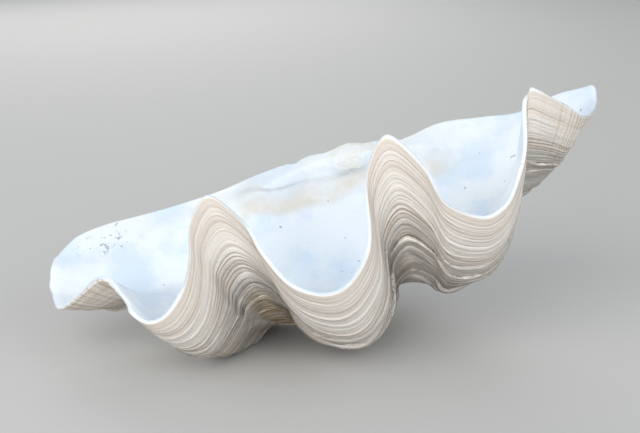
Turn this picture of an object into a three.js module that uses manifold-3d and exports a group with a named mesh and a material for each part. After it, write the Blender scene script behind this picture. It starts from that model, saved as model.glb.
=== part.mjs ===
// One valve of a giant clam shell, lying on its ribs with the bowl open to the top.
//
// A bivalve shell grows only at its rim: each year the rim is a little larger and has turned a
// little further about the hinge line. The outer face is built the same way, as today's rim scaled
// down towards the beak and wound back about the hinge line. The bowl face follows it one shell
// thickness inwards, with the hollows behind the ribs filled up as the shell gets older.
//
// Millimetres. In the valve's own frame the beak is the origin, x runs along the hinge line,
// -y points from the hinge to the front rim and z points up out of the bowl. The exported mesh is
// turned to the way the shell lies: front towards -y, resting on z = 0, centred on x = y = 0.
import * as THREE from "three";
import Module from "manifold-3d";

// Outline of the rim, once round from the low end past the front to the high end, and back along
// the hinge side. The low points are the ends of the ribs, the high ones the folds between them.
const RIM = [
  [-321, -101, -9], // low end
  [-325, -113, -26],
  [-319, -135, -37], // first rib
  [-304, -147, -34],
  [-285, -156, -24],
  [-256, -166, -11], // first fold
  [-240, -185, -21],
  [-230, -205, -29],
  [-223, -229, -32],
  [-209, -233, -45], // second rib
  [-188, -232, -42],
  [-168, -220, -26],
  [-151, -223, 5],
  [-138, -231, 40],
  [-113, -238, 63], // second fold
  [-91, -236, 31],
  [-82, -237, -7],
  [-65, -243, -42],
  [-37, -246, -60], // third rib
  [-11, -244, -58],
  [13, -232, -40],
  [24, -223, -17],
  [35, -216, 35],
  [61, -216, 65], // third fold
  [86, -224, 32],
  [98, -229, -9],
  [130, -218, -38], // fourth rib
  [155, -213, -34],
  [173, -204, -15],
  [188, -193, 10],
  [196, -186, 39],
  [201, -184, 56],
  [207, -184, 62], // fourth fold
  [220, -180, 52],
  [236, -170, 34],
  [252, -156, 14],
  [268, -122, 6], // fifth rib
  [277, -97, 8],
  [279, -84, 19], // high end
  [260, -70, 19],
  [240, -59, 15],
  [208, -43, 5],
  [166, -25, 5],
  [122, -11, 8],
  [74, -1, -1],
  [19, 6, 7], // beak
  [-42, 3, 6],
  [-94, -2, 5],
  [-144, -10, 2],
  [-214, -26, 4],
  [-263, -43, 9],
  [-295, -63, 9],
  [-314, -82, -1],
];

// Growth
const COIL = THREE.MathUtils.degToRad(154); // turn about the hinge line from the beak to the rim
const COIL_SIDE_LOSS = THREE.MathUtils.degToRad(57); // less turn this far out along the hinge:
const COIL_SIDE_REACH = 250;
const COIL_POWER = 1.64; // how much of the turn falls late in growth
const BEAK_STAGE = 0.05; // size of the first modelled rim, as a share of today's

// Shell wall
const RIM_THICKNESS = 4;
const BODY_THICKNESS = 14;
const HINGE_THICKNESS = 30;
const HINGE_REACH = 190; // half the length over which the hinge plate tapers away
const HINGE_DEPTH = 55; // how far in front of the hinge line the plate is felt
const PLATE_WAY = new THREE.Vector3(0, -1, 0.2).normalize(); // from the hinge line over the plate
const BACK_FACE = -34; // the bowl's back lies this far in front of the hinge line,
const BACK_LEAN = 0.22; // leans forward by this much per unit of depth,
const BACK_BLEND = 16; // and meets the rest of the bowl in a curve of this size
const BACK_FULL = 0.75; // stage at which it has its full effect
const LIP_CREST = 1.2; // height of the rounded edge over the two faces
const BOWL_CENTRE = new THREE.Vector3(-15, -110, 60);
const BOWL_STAGE = 0.33; // stage at which the bowl face closes over the solid beak
const FILL_SHARE = 0.5; // share of a rib's depth below the folds that the older shell fills up
const FILL_START = 0.97;
const FILL_END = 0.55;
const BOWL_EASING = 48; // smoothing passes round the deepest bowl ring, fewer towards the rim
const BEAK_EASING = 48;

// How the shell lies
const ROLL = THREE.MathUtils.degToRad(15.4); // high end up
const WORN_DEPTH = 2.6; // the lowest ribs are worn flat by this much
const SLAB_HALF = 500; // half width of the slab that cuts the worn flats

// Mesh density
const AROUND = 150;
const OUTER_STAGES = 15;
const BOWL_STAGES = 9;
const FOLD_WINDOW = 12; // columns either way that hold the nearest fold

const HINGE_AXIS = new THREE.Vector3(1, 0, 0);
const ROW_AXIS = new THREE.Vector3(0, 1, 0);

const { smoothstep, lerp } = THREE.MathUtils;

// Turn about the hinge line, from today's rim back to the rim of an earlier stage.
function coilAngle(x, stage) {
  const side = x / COIL_SIDE_REACH;
  return (COIL - COIL_SIDE_LOSS * side * side) * (1 - stage ** COIL_POWER);
}

// Where a point of today's rim stood when the shell was `stage` times its present size.
function grown(point, stage) {
  const turned = point.clone().applyAxisAngle(HINGE_AXIS, coilAngle(point.x, stage));
  return turned.multiplyScalar(stage);
}

// Entry of a closed list, counted past either end.
function at(list, i) {
  return list[(i + list.length) % list.length];
}

// Level of the folds at each column: the highest rim height nearby, smoothed along the rim.
function foldLevels(rim) {
  const window = [...Array(2 * FOLD_WINDOW + 1).keys()].map((k) => k - FOLD_WINDOW);
  const heights = rim.map((p) => p.z);
  const highest = heights.map((_, i) => Math.max(...window.map((k) => at(heights, i + k))));
  return highest.map(
    (_, i) => window.reduce((sum, k) => sum + at(highest, i + k), 0) / window.length,
  );
}

// Columns run round the rim. Each knows its rim point, the way into the wall and into the bowl,
// how deep its rib lies below the folds, and how much of the hinge plate it carries.
function makeColumns() {
  const points = RIM.map((p) => new THREE.Vector3(...p));
  const curve = new THREE.CatmullRomCurve3(points, true, "catmullrom", 0.5);
  const rim = [...Array(AROUND).keys()].map((i) => curve.getPoint(i / AROUND));
  const levels = foldLevels(rim);
  return rim.map((point, i) => {
    const along = curve.getTangent(i / AROUND);
    const back = grown(point, 0.99).sub(point);
    const reach = smoothstep(HINGE_REACH - Math.abs(point.x), 0, HINGE_REACH);
    return {
      rim: point,
      inward: along.cross(back).normalize(),
      centreward: BOWL_CENTRE.clone().sub(point).normalize(),
      growth: back.normalize().negate(),
      hollow: FILL_SHARE * Math.max(0, levels[i] - point.z),
      hinge: reach * smoothstep(point.y, -HINGE_DEPTH, 0),
    };
  });
}

// The bowl face: the outer face moved in by the wall, plus the filling behind the ribs.
function lined(column, stage) {
  const wall = lerp(RIM_THICKNESS, BODY_THICKNESS, 1 - smoothstep(stage, BOWL_STAGE, 1));
  const plate = column.hinge * (HINGE_THICKNESS - RIM_THICKNESS);
  const filled = 1 - smoothstep(stage, FILL_END, FILL_START);
  return column.inward
    .clone()
    .multiplyScalar(wall)
    .addScaledVector(column.centreward, filled * stage * column.hollow)
    .applyAxisAngle(HINGE_AXIS, coilAngle(column.rim.x, stage))
    .addScaledVector(PLATE_WAY, plate)
    .add(grown(column.rim, stage));
}

// Solid shell fills the room under the hinge: bowl points behind its face come forward to it.
function backed(point, stage) {
  const behind = (point.y - BACK_FACE - BACK_LEAN * point.z) / BACK_BLEND;
  const forward = BACK_BLEND * Math.log1p(Math.exp(behind));
  const felt = 1 - smoothstep(stage, BACK_FULL, 1);
  return new THREE.Vector3(point.x, point.y - felt * forward, point.z);
}

// The rounded edge between the two faces.
function crested(column) {
  const middle = column.rim.clone().add(lined(column, 1)).multiplyScalar(0.5);
  return middle.addScaledVector(column.growth, LIP_CREST);
}

// Evens out a ring by averaging each point with its neighbours, several times over.
function eased(ring, passes) {
  const average = (p, before, after) =>
    p.clone().multiplyScalar(2).add(before).add(after).divideScalar(4);
  let even = ring;
  for (let pass = 0; pass < passes; pass++) {
    const last = even;
    even = last.map((p, i) => average(p, at(last, i - 1), at(last, i + 1)));
  }
  return even;
}

function bowlRing(columns, stage) {
  const depth = (1 - stage) / (1 - BOWL_STAGE);
  const ring = columns.map((c) => lined(c, stage));
  return eased(ring, Math.round(BOWL_EASING * depth * depth)).map((p) => backed(p, stage));
}

function stages(count, last) {
  return [...Array(count + 1).keys()].map((i) => lerp(1, last, i / count));
}

// Rings of points from the beak up the outside, over the lip and down into the bowl.
function makeRings(columns) {
  const [beak, ...outside] = stages(OUTER_STAGES, BEAK_STAGE)
    .reverse()
    .map((stage) => columns.map((c) => grown(c.rim, stage)));
  const bowl = stages(BOWL_STAGES, BOWL_STAGE).map((stage) => bowlRing(columns, stage));
  return [eased(beak, BEAK_EASING), ...outside, columns.map(crested), ...bowl];
}

function centroid(ring) {
  const sum = ring.reduce((total, p) => total.add(p), new THREE.Vector3());
  return sum.divideScalar(ring.length);
}

// Triangles over all the rings, closed at both ends by a fan to the ring's middle.
function skin(rings) {
  const points = [...rings.flat(), centroid(rings[0]), centroid(rings[rings.length - 1])];
  const triangles = [];
  const firstPole = points.length - 2;
  const lastRow = (rings.length - 1) * AROUND;
  for (let i = 0; i < AROUND; i++) {
    const next = (i + 1) % AROUND;
    triangles.push(firstPole, next, i);
    triangles.push(firstPole + 1, lastRow + i, lastRow + next);
    for (let row = 0; row < lastRow; row += AROUND) {
      const above = row + AROUND;
      triangles.push(row + i, row + next, above + next);
      triangles.push(row + i, above + next, above + i);
    }
  }
  return { points, triangles };
}

// Turns the valve to the way it lies: lowest rib a worn depth below zero, bounds centred.
function layDown(points) {
  points.forEach((p) => p.applyAxisAngle(ROW_AXIS, -ROLL));
  const bounds = new THREE.Box3().setFromPoints(points);
  const shift = bounds.getCenter(new THREE.Vector3()).negate();
  shift.z = -bounds.min.z - WORN_DEPTH;
  points.forEach((p) => p.add(shift));
}

async function makeSolid({ points, triangles }) {
  const wasm = await Module();
  wasm.setup();
  const mesh = new wasm.Mesh({
    numProp: 3,
    vertProperties: new Float32Array(points.flatMap((p) => p.toArray())),
    triVerts: new Uint32Array(triangles),
  });
  const slab = wasm.Manifold.cube([2 * SLAB_HALF, 2 * SLAB_HALF, SLAB_HALF], true);
  return new wasm.Manifold(mesh).subtract(slab.translate([0, 0, -SLAB_HALF / 2])).getMesh();
}

function makeGeometry(solid) {
  const geometry = new THREE.BufferGeometry();
  geometry.setAttribute("position", new THREE.BufferAttribute(solid.vertProperties, 3));
  geometry.setIndex(new THREE.BufferAttribute(solid.triVerts, 1));
  geometry.computeVertexNormals();
  return geometry;
}

const shape = skin(makeRings(makeColumns()));
layDown(shape.points);

const shell = new THREE.Mesh(
  makeGeometry(await makeSolid(shape)),
  new THREE.MeshStandardMaterial({ color: 0xe6e2dc, roughness: 0.55, metalness: 0 }),
);
shell.name = "shell";

const part = new THREE.Group();
part.name = "giant_clam_shell";
part.add(shell);

export default part;
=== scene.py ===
import math

import bpy
import numpy as np
from mathutils import Matrix, Vector


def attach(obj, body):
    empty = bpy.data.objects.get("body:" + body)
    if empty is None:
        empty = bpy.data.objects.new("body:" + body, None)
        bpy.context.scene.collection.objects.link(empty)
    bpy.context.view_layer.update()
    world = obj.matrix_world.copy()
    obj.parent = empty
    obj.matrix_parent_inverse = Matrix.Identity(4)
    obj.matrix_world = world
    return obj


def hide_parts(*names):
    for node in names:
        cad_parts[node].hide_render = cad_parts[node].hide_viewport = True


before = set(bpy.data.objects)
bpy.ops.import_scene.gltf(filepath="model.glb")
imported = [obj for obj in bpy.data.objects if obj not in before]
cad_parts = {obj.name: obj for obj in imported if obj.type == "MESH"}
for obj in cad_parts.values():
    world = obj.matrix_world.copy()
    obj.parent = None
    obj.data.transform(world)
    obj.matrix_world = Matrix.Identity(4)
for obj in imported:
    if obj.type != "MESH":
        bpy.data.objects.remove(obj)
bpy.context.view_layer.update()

rng = np.random.default_rng(11)

# Rim outline in the valve's own frame: beak at the origin, x along the hinge, z out of the bowl.
RIM = np.array([
    [-321, -101, -9],  # low end
    [-325, -113, -26],
    [-319, -135, -37],  # first rib
    [-304, -147, -34],
    [-285, -156, -24],
    [-256, -166, -11],  # first fold
    [-240, -185, -21],
    [-230, -205, -29],
    [-223, -229, -32],
    [-209, -233, -45],  # second rib
    [-188, -232, -42],
    [-168, -220, -26],
    [-151, -223, 5],
    [-138, -231, 40],
    [-113, -238, 63],  # second fold
    [-91, -236, 31],
    [-82, -237, -7],
    [-65, -243, -42],
    [-37, -246, -60],  # third rib
    [-11, -244, -58],
    [13, -232, -40],
    [24, -223, -17],
    [35, -216, 35],
    [61, -216, 65],  # third fold
    [86, -224, 32],
    [98, -229, -9],
    [130, -218, -38],  # fourth rib
    [155, -213, -34],
    [173, -204, -15],
    [188, -193, 10],
    [196, -186, 39],
    [201, -184, 56],
    [207, -184, 62],  # fourth fold
    [220, -180, 52],
    [236, -170, 34],
    [252, -156, 14],
    [268, -122, 6],  # fifth rib
    [277, -97, 8],
    [279, -84, 19],  # high end
    [260, -70, 19],
    [240, -59, 15],
    [208, -43, 5],
    [166, -25, 5],
    [122, -11, 8],
    [74, -1, -1],
    [19, 6, 7],  # beak
    [-42, 3, 6],
    [-94, -2, 5],
    [-144, -10, 2],
    [-214, -26, 4],
    [-263, -43, 9],
    [-295, -63, 9],
    [-314, -82, -1],
], float)

# Growth and wall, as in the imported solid
COIL = math.radians(154)
COIL_SIDE_LOSS = math.radians(57)
COIL_SIDE_REACH = 250
COIL_POWER = 1.64
BEAK_STAGE = 0.05
RIM_THICKNESS = 4
BODY_THICKNESS = 14
HINGE_THICKNESS = 30
HINGE_REACH = 190
HINGE_DEPTH = 55
END_REACH = (205, 262)  # distance along the hinge line over which the end ribs begin
PLATE_WAY = np.array([0, -1, 0.2]) / math.hypot(1, 0.2)
BACK_FACE = -34
BACK_LEAN = 0.22
BACK_BLEND = 16
BACK_FULL = 0.75
BOWL_CENTRE = np.array([-15.0, -110.0, 60.0])
BOWL_STAGE = 0.33
FILL_SHARE = 0.5
FILL_START = 0.97
FILL_END = 0.55
FOLD_WINDOW = 0.08  # share of the rim either way that holds the nearest fold
EASING = 4.9 / 150  # spread of the deepest bowl ring's smoothing, as a share of the rim
ROLL = math.radians(15.4)
BEAK_PLACE = np.array([20.9, 88.6, 178.5])  # the beak in the row frame

# Mesh density
AROUND = 360
LIP_ROWS = 7
BOWL_ROWS = 34
CLOSING_ROWS = 7
CLOSING_EASING = 0.1
MILLIMETRE = 0.001


def smoothstep(x, low, high):
    t = np.clip((x - low) / (high - low), 0, 1)
    return t * t * (3 - 2 * t)


def near(values, place, half):
    return np.exp(-(((values - place) / half) ** 2))


def around_gap(place):
    """Share of the rim between each column and a place, the short way round."""
    gap = np.abs(np.arange(AROUND) / AROUND - place)
    return np.minimum(gap, 1 - gap)


def unit(v):
    return v / np.linalg.norm(v, axis=-1, keepdims=True)


def rim_curve(count):
    """Points and tangents of the closed Catmull-Rom curve through the outline."""
    place = np.arange(count) / count * len(RIM)
    first = np.floor(place).astype(int)
    t = (place - first)[:, None]
    a, b, c, d = (RIM[(first + k) % len(RIM)] for k in (-1, 0, 1, 2))
    linear, square, cube = c - a, 2 * a - 5 * b + 4 * c - d, 3 * b - a - 3 * c + d
    points = b + 0.5 * (linear * t + square * t**2 + cube * t**3)
    return points, 0.5 * (linear + 2 * square * t + 3 * cube * t**2)


def turned(v, angle):
    """Points turned about the hinge line."""
    c, s = np.cos(angle), np.sin(angle)
    return np.stack([v[:, 0], c * v[:, 1] - s * v[:, 2], s * v[:, 1] + c * v[:, 2]], -1)


def coil_angle(x, stage):
    return (COIL - COIL_SIDE_LOSS * (x / COIL_SIDE_REACH) ** 2) * (1 - stage**COIL_POWER)


def grown(points, stage):
    """Where points of today's rim stood when the shell was stage times its present size."""
    scale = np.broadcast_to(stage, len(points))[:, None]
    return turned(points, coil_angle(points[:, 0], stage)) * scale


def spread(ring, share):
    """A ring smoothed along its length by a bell of this share of the rim."""
    turns = np.fft.rfftfreq(len(ring))[:, None] * len(ring)
    bell = np.exp(-0.5 * (2 * math.pi * turns * share) ** 2)
    return np.fft.irfft(np.fft.rfft(ring, axis=0) * bell, len(ring), axis=0)


def ring_noise(scale, count=AROUND):
    """Smooth noise round the rim, about one unit high, with waves this share of the rim long."""
    wave = spread(rng.normal(size=(count, 1)), scale)[:, 0]
    return wave / wave.std()


rim, along = rim_curve(AROUND)
x, y, z = rim.T
back = grown(rim, 0.99) - rim
growth_way = -unit(back)
inward = unit(np.cross(along, back))
centreward = unit(BOWL_CENTRE - rim)
window = round(FOLD_WINDOW * AROUND)
reaches = range(-window, window + 1)
highest = np.max([np.roll(z, k) for k in reaches], 0)
levels = np.mean([np.roll(highest, k) for k in reaches], 0)
hollow = FILL_SHARE * np.maximum(0, levels - z)
hinge = smoothstep(HINGE_REACH - abs(x), 0, HINGE_REACH) * smoothstep(y, -HINGE_DEPTH, 0)
ends = smoothstep(abs(x), *END_REACH)


FIRST_FOLD = (-275, 34)  # its place along the hinge line and its half length
FRONT_OF = -110  # the first fold lies in front of this
FOLD_EXTRA = 2.6
EDGE_UNEVEN = 0.35


def rim_wall():
    """Thickness of the rim's edge: a little uneven, and thicker along the first fold."""
    first_fold = near(x, *FIRST_FOLD) * (y < FRONT_OF)
    return RIM_THICKNESS + FOLD_EXTRA * first_fold + EDGE_UNEVEN * ring_noise(0.006)


edge_wall = rim_wall()


def backed(ring, stage):
    """Shell fills the room under the hinge: bowl points behind its face come forward to it."""
    behind = (ring[:, 1] - BACK_FACE - BACK_LEAN * ring[:, 2]) / BACK_BLEND
    forward = BACK_BLEND * np.logaddexp(0, behind) * (1 - smoothstep(stage, BACK_FULL, 1))
    return ring - np.outer(forward, [0, 1, 0])


def lined(stage):
    """The bowl face at a stage: the outer face moved in by the wall and the filling."""
    body = 1 - smoothstep(stage, BOWL_STAGE, 1)
    wall = edge_wall + (BODY_THICKNESS - edge_wall) * body
    plate = hinge * (HINGE_THICKNESS - RIM_THICKNESS)
    filled = 1 - smoothstep(stage, FILL_END, FILL_START)
    step = inward * wall[:, None] + centreward * (filled * stage * hollow)[:, None]
    ring = turned(step, coil_angle(x, stage)) + np.outer(plate, PLATE_WAY) + grown(rim, stage)
    return backed(spread(ring, EASING * (1 - stage) / (1 - BOWL_STAGE)), stage)


# ---- small bumps and a notch along the hinge, and small points at both ends --------------------
BACK_EDGE = (-30, -6)  # the rim counts as the back edge between these
HINGE_BUMPS = (  # place along the hinge, half length, height
    (-47, 4, -3.0),
    (-27, 8, 1.8),
    (-8, 6, -0.8),
    (13, 10, 2.8),
    (34, 6, -1.4),
    (58, 14, 1.2),
)
bump_height = sum(tall * near(x, place, half) for place, half, tall in HINGE_BUMPS)
bumps = np.outer(bump_height * smoothstep(y, *BACK_EDGE), [0, 0, 1])

TIP_POINTS = (  # share of the rim, half width, and the way and height of the point in millimetres
    (0.985, 0.006, (-2.2, 0, 2.4)),
    (0.012, 0.005, (-2.0, -1.0, 0)),
    (0.719, 0.005, (1.0, 0, 1.8)),
)
bumps += sum(np.outer(near(around_gap(place), 0, half), way) for place, half, way in TIP_POINTS)


def bumped(ring, share):
    """A ring moved by this share of the hinge's bumps and the points at the ends."""
    return ring + bumps * share


# ---- outer face: growth rows with their relief -------------------------------------------------
REFERENCE = 250  # distance of the front rim from the hinge line
LAST_RIDGE_STAGE = 0.12
PLAIN_ROWS = 8
FIRST_PAUSE = 12
PAUSE_GAPS = (11, 27)
RIDGE_WIDTHS = (3.8, 7.8)
RIDGE_HEIGHTS = (0.12, 0.5)
# Darkness of ordinary grooves: partly the growth lines' own tone, partly painted shade in the
# grooves.
GROOVE_TONE_AND_SHADE = (0.1, 0.42)
TERRACE_HEIGHTS = (0.5, 1.0)
PLAIN_EDGE = 22  # the relief grows to its full height over this length from the rim
BUMP_FADE = 6  # length over which the hinge's bumps fade on the outer face
STAGE_STEP = 0.004
CALM_ENDS = (30, 80)  # grown length over which both ends turn from calm to ridged
ROUGH_FROM_TO = (30, 125)  # grown length over which the outer face turns from smooth to rough


def midline_rate(stage):
    """Millimetres of shell grown at the front per unit of stage."""
    return REFERENCE * math.hypot(1, COIL * COIL_POWER * stage**COIL_POWER)


def growth_rows():
    """Rows from the rim to the beak, three to a growth ridge: (stage, length, relief, groove).

    Growth pauses now and then. A pause leaves a groove, coloured dark partly in its own tone and
    partly as painted shade, and the shell before it stands up in a terrace that runs out at the next
    pause.
    """
    rows, stage, length = [], 1.0, 0.0
    paused, next_pause, edge, paused_now = 0.0, FIRST_PAUSE, 0.0, False
    while stage > LAST_RIDGE_STAGE:
        age = smoothstep(length, *ROUGH_FROM_TO)
        width = rng.uniform(*RIDGE_WIDTHS) * (1 + 0.7 * (1 - stage))
        height = rng.uniform(*RIDGE_HEIGHTS) * (1 + 2.8 * age)
        first_share = 0.1 if paused_now else 0.4
        paused_now = length + width > next_pause
        # The groove's darkness is partly its own tone and partly painted shade in the groove.
        groove = 1.0 if paused_now else rng.uniform(*GROOVE_TONE_AND_SHADE)
        for share, relief, dark in ((first_share, 0.3, 0.0), (0.84, 1.0, 0.0), (1.0, -0.7, groove)):
            place = stage - share * width / midline_rate(stage)
            here = length + share * width
            left = 1 - (here - paused) / (next_pause - paused)
            terrace = edge * np.clip(left, 0, 1)
            rows.append((place, here, relief * height + terrace, dark))
        stage = rows[-1][0]
        length += width
        if paused_now:
            paused, next_pause = length, length + rng.uniform(*PAUSE_GAPS)
            edge = rng.uniform(*TERRACE_HEIGHTS) * (0.8 + 2.6 * age)
    for place in np.linspace(stage, BEAK_STAGE, PLAIN_ROWS)[1:]:
        rows.append((place, length + (stage - place) * midline_rate(place), 0.0, 0.0))
    return rows


def outward_and_rate(base, stages, stage):
    """Each column's way out of the shell, and its growth next to the midline's."""
    before = grown(rim, stages - STAGE_STEP)
    across = np.roll(base, -1, 0) - np.roll(base, 1, 0)
    outward = -unit(np.cross(across, before - base))
    rate = np.linalg.norm(before - base, axis=1) / (STAGE_STEP * midline_rate(stage))
    return outward, np.clip(rate, 0, 1)


def ridge_strength(length, swell):
    """How far each column's ridges stand up: unevenly, and little near the rim of both ends."""
    uneven = 0.45 + 0.35 * smoothstep(length, *ROUGH_FROM_TO)
    calm = 1 - 0.7 * ends * (1 - smoothstep(length, *CALM_ENDS))
    return np.clip(1 + uneven * swell, 0.1, 2.1) * calm


def outer_rings():
    """Rings from the beak to the rim, each with its length, age and groove."""
    rings = []
    wobble = ring_noise(0.02)
    swell = ring_noise(0.03)
    for stage, length, relief, groove in growth_rows():
        wobble = 0.95 * wobble + 0.31 * ring_noise(0.012)
        swell = 0.8 * swell + 0.6 * ring_noise(0.012)
        early = smoothstep(length, 0, PLAIN_EDGE)
        drift = early * 1.3 * wobble / midline_rate(stage) * smoothstep(stage, 0.1, 0.3)
        stages = stage + drift
        base = grown(rim, stages)
        outward, rate = outward_and_rate(base, stages, stage)
        broad = 0.45 * math.sin(length / 4.6 + 1.3 * math.sin(length / 13))
        rise = (relief + broad) * rate * ridge_strength(length, swell)
        rise *= early * smoothstep(stage, 0.06, 0.2)
        ring = bumped(base + outward * rise[:, None], math.exp(-length / BUMP_FADE))
        # Each ring carries its groove darkness, which is partly painted shade.
        rings.append((ring, length, 1 - stages, groove * np.clip(0.75 + 0.3 * swell, 0.2, 1)))
    rings[-1] = (spread(rings[-1][0], EASING), *rings[-1][1:])
    return rings[::-1]


# ---- lip and bowl face -------------------------------------------------------------------------
LIP_CREST = 1.5
EASING_PASSES = 160


def lip_rings():
    """Rings over the rounded edge, from the outer face to the bowl face."""
    inner = lined(1.0)
    nicks = 1 + 0.45 * np.clip(ring_noise(0.004), -1.6, 1.6) * (1 - hinge)
    for row in range(1, LIP_ROWS + 1):
        share = row / (LIP_ROWS + 1)
        arch = LIP_CREST * (4 * share * (1 - share)) ** 0.7
        ring = rim + (inner - rim) * share + growth_way * (arch * nicks)[:, None]
        yield bumped(ring, 1)


def bowl_rings():
    """Rings from the lip down into the bowl and over its closing patch."""
    depths = np.linspace(0, 1, BOWL_ROWS + 1)
    rings = [lined(1 - (1 - BOWL_STAGE) * depth) for depth in depths]
    last = rings[-1]
    centre = last.mean(0)
    for share in np.arange(1, CLOSING_ROWS) / CLOSING_ROWS:
        rounder = spread(last, CLOSING_EASING * share)
        rings.append(rounder + (centre - rounder) * share)
    rings = np.array(rings)
    rows = np.arange(len(rings))
    ease = 0.25 * smoothstep(rows, 0.35 * BOWL_ROWS, BOWL_ROWS)[1:-1, None, None]
    for _ in range(EASING_PASSES):
        rings[1:-1] += ease * (rings[:-2] - 2 * rings[1:-1] + rings[2:])
    softening = CLOSING_EASING * 0.4 * smoothstep(rows, 0.45 * BOWL_ROWS, BOWL_ROWS)
    rings = [spread(ring, share) for ring, share in zip(rings, softening)]
    shares = 1 - smoothstep(rows, 0, 0.15 * BOWL_ROWS)
    return [(row / BOWL_ROWS, bumped(rings[row], shares[row])) for row in rows]


# ---- the mesh ----------------------------------------------------------------------------------
def to_row_frame(points):
    c, s = math.cos(ROLL), math.sin(ROLL)
    px, py, pz = points.T
    laid = np.stack([c * px - s * pz, py, s * px + c * pz], -1) + BEAK_PLACE
    laid[:, 2] = np.maximum(laid[:, 2], 0)
    return laid * MILLIMETRE


# Marks that the material reads: grown length from the rim (0 on the rim and in the bowl), groove
# darkness (partly painted shade), side (0 outside, 1 in the bowl), and the shares of stain, scuff,
# warm band and so on.
MARKS = ("growth", "groove", "side", "stain", "scuff", "warm", "line", "knobs")
GROOVE_COLUMN = 0.262  # the groove between the second and third ribs
SCUFF_COLUMN = 0.965  # the crease that runs in from the low end


def back_wall_marks(ring):
    """The back wall's warm band, the thin line where the hinge plate ends, and the hinge knobs."""
    across, front, height = ring.T
    on_back = smoothstep(front, -95, -55) * smoothstep(150 - abs(across + 5), 0, 60)
    waver = 4 * np.sin(across / 23) + 2.5 * np.sin(across / 9)
    centre = waver - 24
    warm = on_back * near(height, centre, np.where(height > centre, 20, 7))
    line = on_back * near(height, -2 + 0.6 * waver, 1.6) * near(across, -75, 40)
    knobs = near(across, 22, 42) * smoothstep(front, -75, -45) * smoothstep(height, -12, -2)
    return {"warm": warm, "line": line, "knobs": knobs}


def shell_rows():
    """Every ring with its marks, from the beak over the lip into the bowl."""
    groove_gap = near(around_gap(GROOVE_COLUMN), 0, 0.02)
    scuff_gap = near(around_gap(SCUFF_COLUMN), 0, 0.018)
    for ring, length, age, groove in outer_rings():
        stain = groove_gap * near(age, 0.21, 0.08)
        yield ring, {"growth": length, "groove": groove, "stain": stain}
    yield bumped(rim, 1), {}
    for row, ring in enumerate(lip_rings()):
        yield ring, {"side": (row + 1) / (LIP_ROWS + 1)}
    for depth, ring in bowl_rings():
        scuff = scuff_gap * near(depth, 0.16, 0.16)
        yield ring, {"side": 1, "scuff": scuff, **back_wall_marks(ring)}


def shell_faces(count):
    """Quads between the rings, and a fan of triangles at the beak and at the bowl's floor."""
    here = np.arange(AROUND)
    after = (here + 1) % AROUND
    starts = np.arange(count - 1)[:, None] * AROUND
    corners = [starts + here, starts + after, starts + AROUND + after, starts + AROUND + here]
    faces = np.stack(corners, -1).reshape(-1, 4).tolist()
    beak, floor, last = count * AROUND, count * AROUND + 1, (count - 1) * AROUND
    faces += [(beak, int(b), int(a)) for a, b in zip(here, after)]
    faces += [(floor, int(last + a), int(last + b)) for a, b in zip(here, after)]
    return faces


def add_marks(mesh, rows):
    """Each mark as a vertex attribute, with the distance round the rim and the share of the ends."""
    zero = np.zeros(AROUND)
    columns = {name: [marks.get(name, 0) + zero for _, marks in rows] for name in MARKS}
    steps = np.linalg.norm(np.roll(rim, -1, 0) - rim, axis=1)
    columns["around"] = [np.cumsum(steps) - steps[0]] * len(rows)
    columns["ends"] = [ends] * len(rows)
    for name, values in columns.items():
        poles = [values[0].mean(), values[-1].mean()]
        attribute = mesh.attributes.new(name, "FLOAT", "POINT")
        attribute.data.foreach_set("value", np.concatenate([*values, poles]).astype(np.float32))


def make_shell():
    rows = list(shell_rows())
    rings = [ring for ring, _ in rows]
    poles = np.array([rings[0].mean(0), rings[-1].mean(0)])
    points = to_row_frame(np.concatenate(rings + [poles]))
    mesh = bpy.data.meshes.new("shell_visual")
    mesh.from_pydata(points.tolist(), [], shell_faces(len(rings)))
    add_marks(mesh, rows)
    mesh.shade_smooth()
    shell = bpy.data.objects.new("shell_visual", mesh)
    bpy.context.scene.collection.objects.link(shell)
    return shell


# ---- material ---------------------------------------------------------------------------------
class Nodes:
    """Short calls for a material's node tree."""

    def __init__(self, material):
        material.use_nodes = True
        self.tree = material.node_tree
        self.tree.nodes.clear()

    def put(self, socket, value):
        if isinstance(value, bpy.types.NodeSocket):
            self.tree.links.new(value, socket)
        else:
            socket.default_value = value

    def add(self, kind, out=0, settings=None, **inputs):
        node = self.tree.nodes.new(kind)
        for name, value in (settings or {}).items():
            setattr(node, name, value)
        for name, value in inputs.items():
            key = int(name[1:]) if name[0] == "i" and name[1:].isdigit() else name
            self.put(node.inputs[key], value)
        return node.outputs[out]

    def math(self, operation, *values):
        inputs = {f"i{k}": v for k, v in enumerate(values)}
        return self.add("ShaderNodeMath", 0, {"operation": operation}, **inputs)

    def field(self, name):
        return self.add("ShaderNodeAttribute", 2, {"attribute_name": name})

    def line_noise(self, place, scale, detail=2.0, rough=0.5):
        settings = {"noise_dimensions": "1D"}
        return self.add("ShaderNodeTexNoise", 0, settings,
                        W=place, Scale=scale, Detail=detail, Roughness=rough)

    def noise(self, coords, scale, detail=3.0, rough=0.5):
        return self.add("ShaderNodeTexNoise", 0, None,
                        Vector=coords, Scale=scale, Detail=detail, Roughness=rough)

    def scaled(self, value, share):
        return self.math("MULTIPLY", value, share)

    def ramp(self, value, low, high):
        settings = {"interpolation_type": "SMOOTHSTEP"}
        return self.add("ShaderNodeMapRange", 0, settings, Value=value,
                        **{"From Min": low, "From Max": high})

    def mix(self, share, a, b):
        node = self.tree.nodes.new("ShaderNodeMix")
        node.data_type = "RGBA"
        self.put(node.inputs[0], share)
        self.put(node.inputs[6], a)
        self.put(node.inputs[7], b)
        return node.outputs[2]


def colour(red, green, blue):
    """Linear colour from screen values of 0 to 255."""
    return tuple(((c / 255 + 0.055) / 1.055) ** 2.4 for c in (red, green, blue)) + (1.0,)


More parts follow.
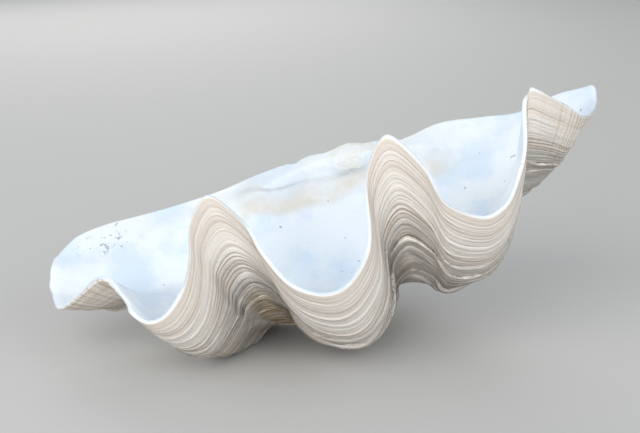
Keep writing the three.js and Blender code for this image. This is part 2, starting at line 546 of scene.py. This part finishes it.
OUTSIDE_PALE = colour(243, 238, 231)
OUTSIDE_TAN = colour(230, 219, 208)
# Colour of the fine growth lines, and of the painted shade in the grooves.
GROOVE_LINE_AND_SHADE = colour(150, 135, 121)
# Painted shade for the older shell, which lies lowest and faces down.
UNDERSIDE_SHADE = colour(181, 169, 155)
STAIN = colour(150, 122, 80)
LAMELLA_EDGE = colour(247, 243, 236)
LIP = colour(243, 243, 241)
STRIPE_LIGHT = colour(240, 234, 226)
STRIPE_TAN = colour(203, 183, 160)
# The bowl's white, and its blue tint, which is painted sky light.
BOWL_WHITE_SKY_TINTED = colour(235, 241, 246)
BOWL_SKY_BLUE = colour(217, 230, 243)
BOWL_WARM = colour(221, 209, 189)
HINGE_CREAM = colour(226, 224, 212)
PLATE_GREY = colour(158, 158, 156)
FLECK = colour(130, 142, 154)
PIT = colour(140, 144, 148)


def banded(n, base, fine, place, line_place):
    """Pale shell with broad tan bands, fine lines and tan blotches."""
    growth, ends = n.field("growth"), n.field("ends")
    base = n.mix(n.ramp(n.line_noise(line_place, 0.05, 2), 0.4, 0.68), base, OUTSIDE_TAN)
    calm_ends = n.math("MULTIPLY", ends, n.ramp(growth, *reversed(CALM_ENDS)))
    calm = n.math("MULTIPLY_ADD", calm_ends, -0.85, 1.0)
    lines = n.math("MULTIPLY", n.ramp(fine, 0.5, 0.8), calm)
    base = n.mix(n.scaled(lines, 0.3), base, GROOVE_LINE_AND_SHADE)
    base = n.mix(n.scaled(n.ramp(n.noise(place, 11, 4), 0.5, 0.75), 0.3), base, OUTSIDE_TAN)
    # Darker in the grooves: partly the growth lines' own tone, partly painted shade.
    patchy = n.ramp(n.noise(place, 30, 3), 0.25, 0.7)
    dark = n.math("MULTIPLY", n.math("POWER", n.field("groove"), 1.6), patchy)
    return n.mix(n.scaled(n.math("MULTIPLY", dark, calm), 0.75), base, GROOVE_LINE_AND_SHADE)


def outside_colour(n, fine, place, line_place):
    """The outer face: bands and grooves, painted shade on the older, lower shell, a stain and white
    lamella edges.
    """
    growth = n.field("growth")
    base = banded(n, OUTSIDE_PALE, fine, place, line_place)
    # Painted shade: the older shell, low on the underside, is darkened in patches.
    underside_shade = n.ramp(n.noise(place, 17, 4, 0.6), 0.7, 0.35)
    underside_shade = n.math("MULTIPLY", n.ramp(growth, 55, 150), underside_shade)
    base = n.mix(n.scaled(underside_shade, 0.72), base, UNDERSIDE_SHADE)
    spoiled = n.math("MULTIPLY", n.ramp(n.field("stain"), 0.15, 0.6), n.ramp(fine, 0.35, 0.5))
    base = n.mix(n.scaled(spoiled, 0.9), base, STAIN)
    edges = n.math("MULTIPLY", n.ramp(n.noise(place, 45, 3), 0.44, 0.6), n.ramp(growth, 50, 120))
    edges = n.math("MULTIPLY", edges, n.ramp(fine, 0.47, 0.4))
    base = n.mix(n.scaled(edges, 0.85), base, LAMELLA_EDGE)
    return n.mix(n.ramp(growth, 2.2, 0.2), base, LIP)


def striped(n, base, stripes, share):
    """Light and tan stripes that run with the growth, at both ends."""
    lighter = n.math("MULTIPLY", n.ramp(stripes, 0.5, 0.4), share)
    base = n.mix(n.scaled(lighter, 0.7), base, STRIPE_LIGHT)
    darker = n.math("MULTIPLY", n.ramp(stripes, 0.5, 0.62), share)
    return n.mix(n.scaled(darker, 0.6), base, STRIPE_TAN)


def bowl_colour(n, place):
    """Satin white tinted blue with painted sky light, with a warm band, cream hinge knobs, small
    pits and a scuffed crease.
    """
    # Painted sky light: cool blue patches over the white.
    sky_blue = n.ramp(n.noise(place, 13, 5, 0.6), 0.42, 0.6)
    base = n.mix(sky_blue, BOWL_WHITE_SKY_TINTED, BOWL_SKY_BLUE)
    cloudy = n.ramp(n.noise(place, 26, 5, 0.65), 0.25, 0.6)
    band = n.math("MULTIPLY", n.field("warm"), cloudy)
    base = n.mix(n.scaled(band, 0.7), base, BOWL_WARM)
    chalky = n.math("MULTIPLY", n.field("knobs"), n.ramp(n.noise(place, 40, 3), 0.35, 0.6))
    base = n.mix(n.scaled(chalky, 0.75), base, HINGE_CREAM)
    base = n.mix(n.scaled(n.field("line"), 0.5), base, PLATE_GREY)
    flecks = n.ramp(n.noise(place, 170, 2, 0.7), 0.55, 0.66)
    flecks = n.math("MULTIPLY", flecks, n.ramp(n.field("scuff"), 0.25, 0.9))
    base = n.mix(n.scaled(flecks, 0.75), base, FLECK)
    pits = n.ramp(n.noise(place, 150, 1, 0.5), 0.76, 0.8)
    return n.mix(n.scaled(pits, 0.55), base, PIT)


def fine_relief(n, fine, place, line_place, riblets):
    """Height, in millimetres, of the relief that is finer than the mesh."""
    old = n.ramp(n.field("growth"), 50, 130)
    relief = n.math("MULTIPLY_ADD", n.noise(place, 380, 3, 0.65), 0.3, fine)
    rugged = n.math("MULTIPLY", n.line_noise(line_place, 0.3, 4, 0.7), old)
    relief = n.math("MULTIPLY_ADD", rugged, 5.0, relief)
    grainy = n.math("MULTIPLY", n.noise(place, 210, 3, 0.65), old)
    relief = n.math("MULTIPLY_ADD", grainy, 2.2, relief)
    relief = n.math("MULTIPLY_ADD", riblets, 2.4, relief)
    relief = n.math("MULTIPLY", relief, n.ramp(n.field("side"), 0.3, 0.02))
    relief = n.math("MULTIPLY_ADD", n.noise(place, 55, 4, 0.6), 0.5, relief)
    lumps = n.math("MULTIPLY", n.noise(place, 60, 3, 0.6), n.field("knobs"))
    return n.math("MULTIPLY_ADD", lumps, 7.0, relief)


def make_material():
    material = bpy.data.materials.new("clam_shell")
    n = Nodes(material)
    place = n.add("ShaderNodeTexCoord", 3)
    side = n.field("side")
    line_place = n.math("MULTIPLY_ADD", n.noise(place, 24, 3), 5.0, n.field("growth"))
    fine = n.line_noise(line_place, 0.6, 3, 0.6)

    outside = outside_colour(n, fine, place, line_place)
    stripe_place = n.math("MULTIPLY_ADD", n.noise(place, 18, 2), 4.0, n.field("around"))
    stripes = n.line_noise(stripe_place, 0.2, 1)
    stripe_share = n.math("MULTIPLY", n.field("ends"), n.ramp(n.field("growth"), 170, 60))
    outside = striped(n, outside, stripes, stripe_share)
    base = n.mix(n.ramp(side, 0.1, 0.4), outside, bowl_colour(n, place))

    riblets = n.math("MULTIPLY", stripes, stripe_share)
    relief = fine_relief(n, fine, place, line_place, riblets)
    bump = n.add("ShaderNodeBump", 0, None, Strength=0.9, Distance=MILLIMETRE, Height=relief)

    shader = n.tree.nodes.new("ShaderNodeBsdfPrincipled")
    n.put(shader.inputs["Base Color"], base)
    n.put(shader.inputs["Roughness"], n.math("MULTIPLY_ADD", n.ramp(side, 0.1, 0.5), -0.24, 0.8))
    n.put(shader.inputs["Normal"], bump)
    shader.inputs["Specular IOR Level"].default_value = 0.3
    output = n.tree.nodes.new("ShaderNodeOutputMaterial")
    n.put(output.inputs["Surface"], shader.outputs[0])
    return material


# ---- studio -----------------------------------------------------------------------------------
def make_floor():
    bpy.ops.mesh.primitive_plane_add(size=40, location=(0, 0, 0))
    floor = bpy.context.object
    floor.name = "studio_floor"
    material = bpy.data.materials.new("studio_floor")
    n = Nodes(material)
    shader = n.tree.nodes.new("ShaderNodeBsdfPrincipled")
    shader.inputs["Base Color"].default_value = (0.55, 0.55, 0.54, 1)
    shader.inputs["Roughness"].default_value = 0.9
    output = n.tree.nodes.new("ShaderNodeOutputMaterial")
    n.put(output.inputs["Surface"], shader.outputs[0])
    floor.data.materials.append(material)


def make_light(name, place, size, power, tint):
    data = bpy.data.lights.new(name, "AREA")
    data.size = size
    data.energy = power
    data.color = tint
    lamp = bpy.data.objects.new(name, data)
    lamp.location = place
    way = -np.array(place, float) + np.array([0, 0, 0.12])
    lamp.rotation_euler = Vector(way).to_track_quat("-Z", "Y").to_euler()
    bpy.context.scene.collection.objects.link(lamp)


def make_world():
    world = bpy.data.worlds.new("studio")
    world.use_nodes = True
    background = world.node_tree.nodes["Background"]
    background.inputs[0].default_value = (0.9, 0.95, 1.0, 1)
    background.inputs[1].default_value = 0.5
    bpy.context.scene.world = world


# ---- camera -----------------------------------------------------------------------------------
ELEVATION = math.radians(18)
CAMERA_ROLL = math.radians(1)
SENSOR = 36  # width in millimetres, as the lens
LENS = 73.1
BEAK_DISTANCE = 1.450  # ahead of the camera
AIM_LEFT = 0.020  # the camera looks past the beak, this far to its left
AIM_BELOW = 0.065  # and this far under it


def make_camera():
    ahead = Vector((0, math.cos(ELEVATION), -math.sin(ELEVATION)))
    level = Vector((1, 0, 0))
    upright = Vector((0, math.sin(ELEVATION), math.cos(ELEVATION)))
    right = level * math.cos(CAMERA_ROLL) - upright * math.sin(CAMERA_ROLL)
    up = level * math.sin(CAMERA_ROLL) + upright * math.cos(CAMERA_ROLL)
    beak = Vector(BEAK_PLACE * MILLIMETRE)
    place = beak - ahead * BEAK_DISTANCE - right * AIM_LEFT - up * AIM_BELOW
    data = bpy.data.cameras.new("camera")
    data.sensor_width = SENSOR
    data.lens = LENS
    data.clip_start = 0.05
    camera = bpy.data.objects.new("camera", data)
    camera.matrix_world = Matrix((
        (right.x, up.x, -ahead.x, place.x),
        (right.y, up.y, -ahead.y, place.y),
        (right.z, up.z, -ahead.z, place.z),
        (0, 0, 0, 1),
    ))
    bpy.context.scene.collection.objects.link(camera)
    bpy.context.scene.camera = camera


shell = make_shell()
shell.data.materials.append(make_material())
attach(shell, "root")
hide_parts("shell")

make_floor()
make_light("key", (-1.2, -2.0, 1.6), 2.0, 47, (1.0, 0.98, 0.95))
make_light("fill", (1.6, -1.7, 1.0), 2.0, 25, (0.97, 0.98, 1.0))
make_light("back", (-0.6, 2.2, 1.3), 2.0, 22, (1.0, 0.98, 0.95))
make_world()
make_camera()
bpy.context.scene.view_settings.view_transform = "Standard"
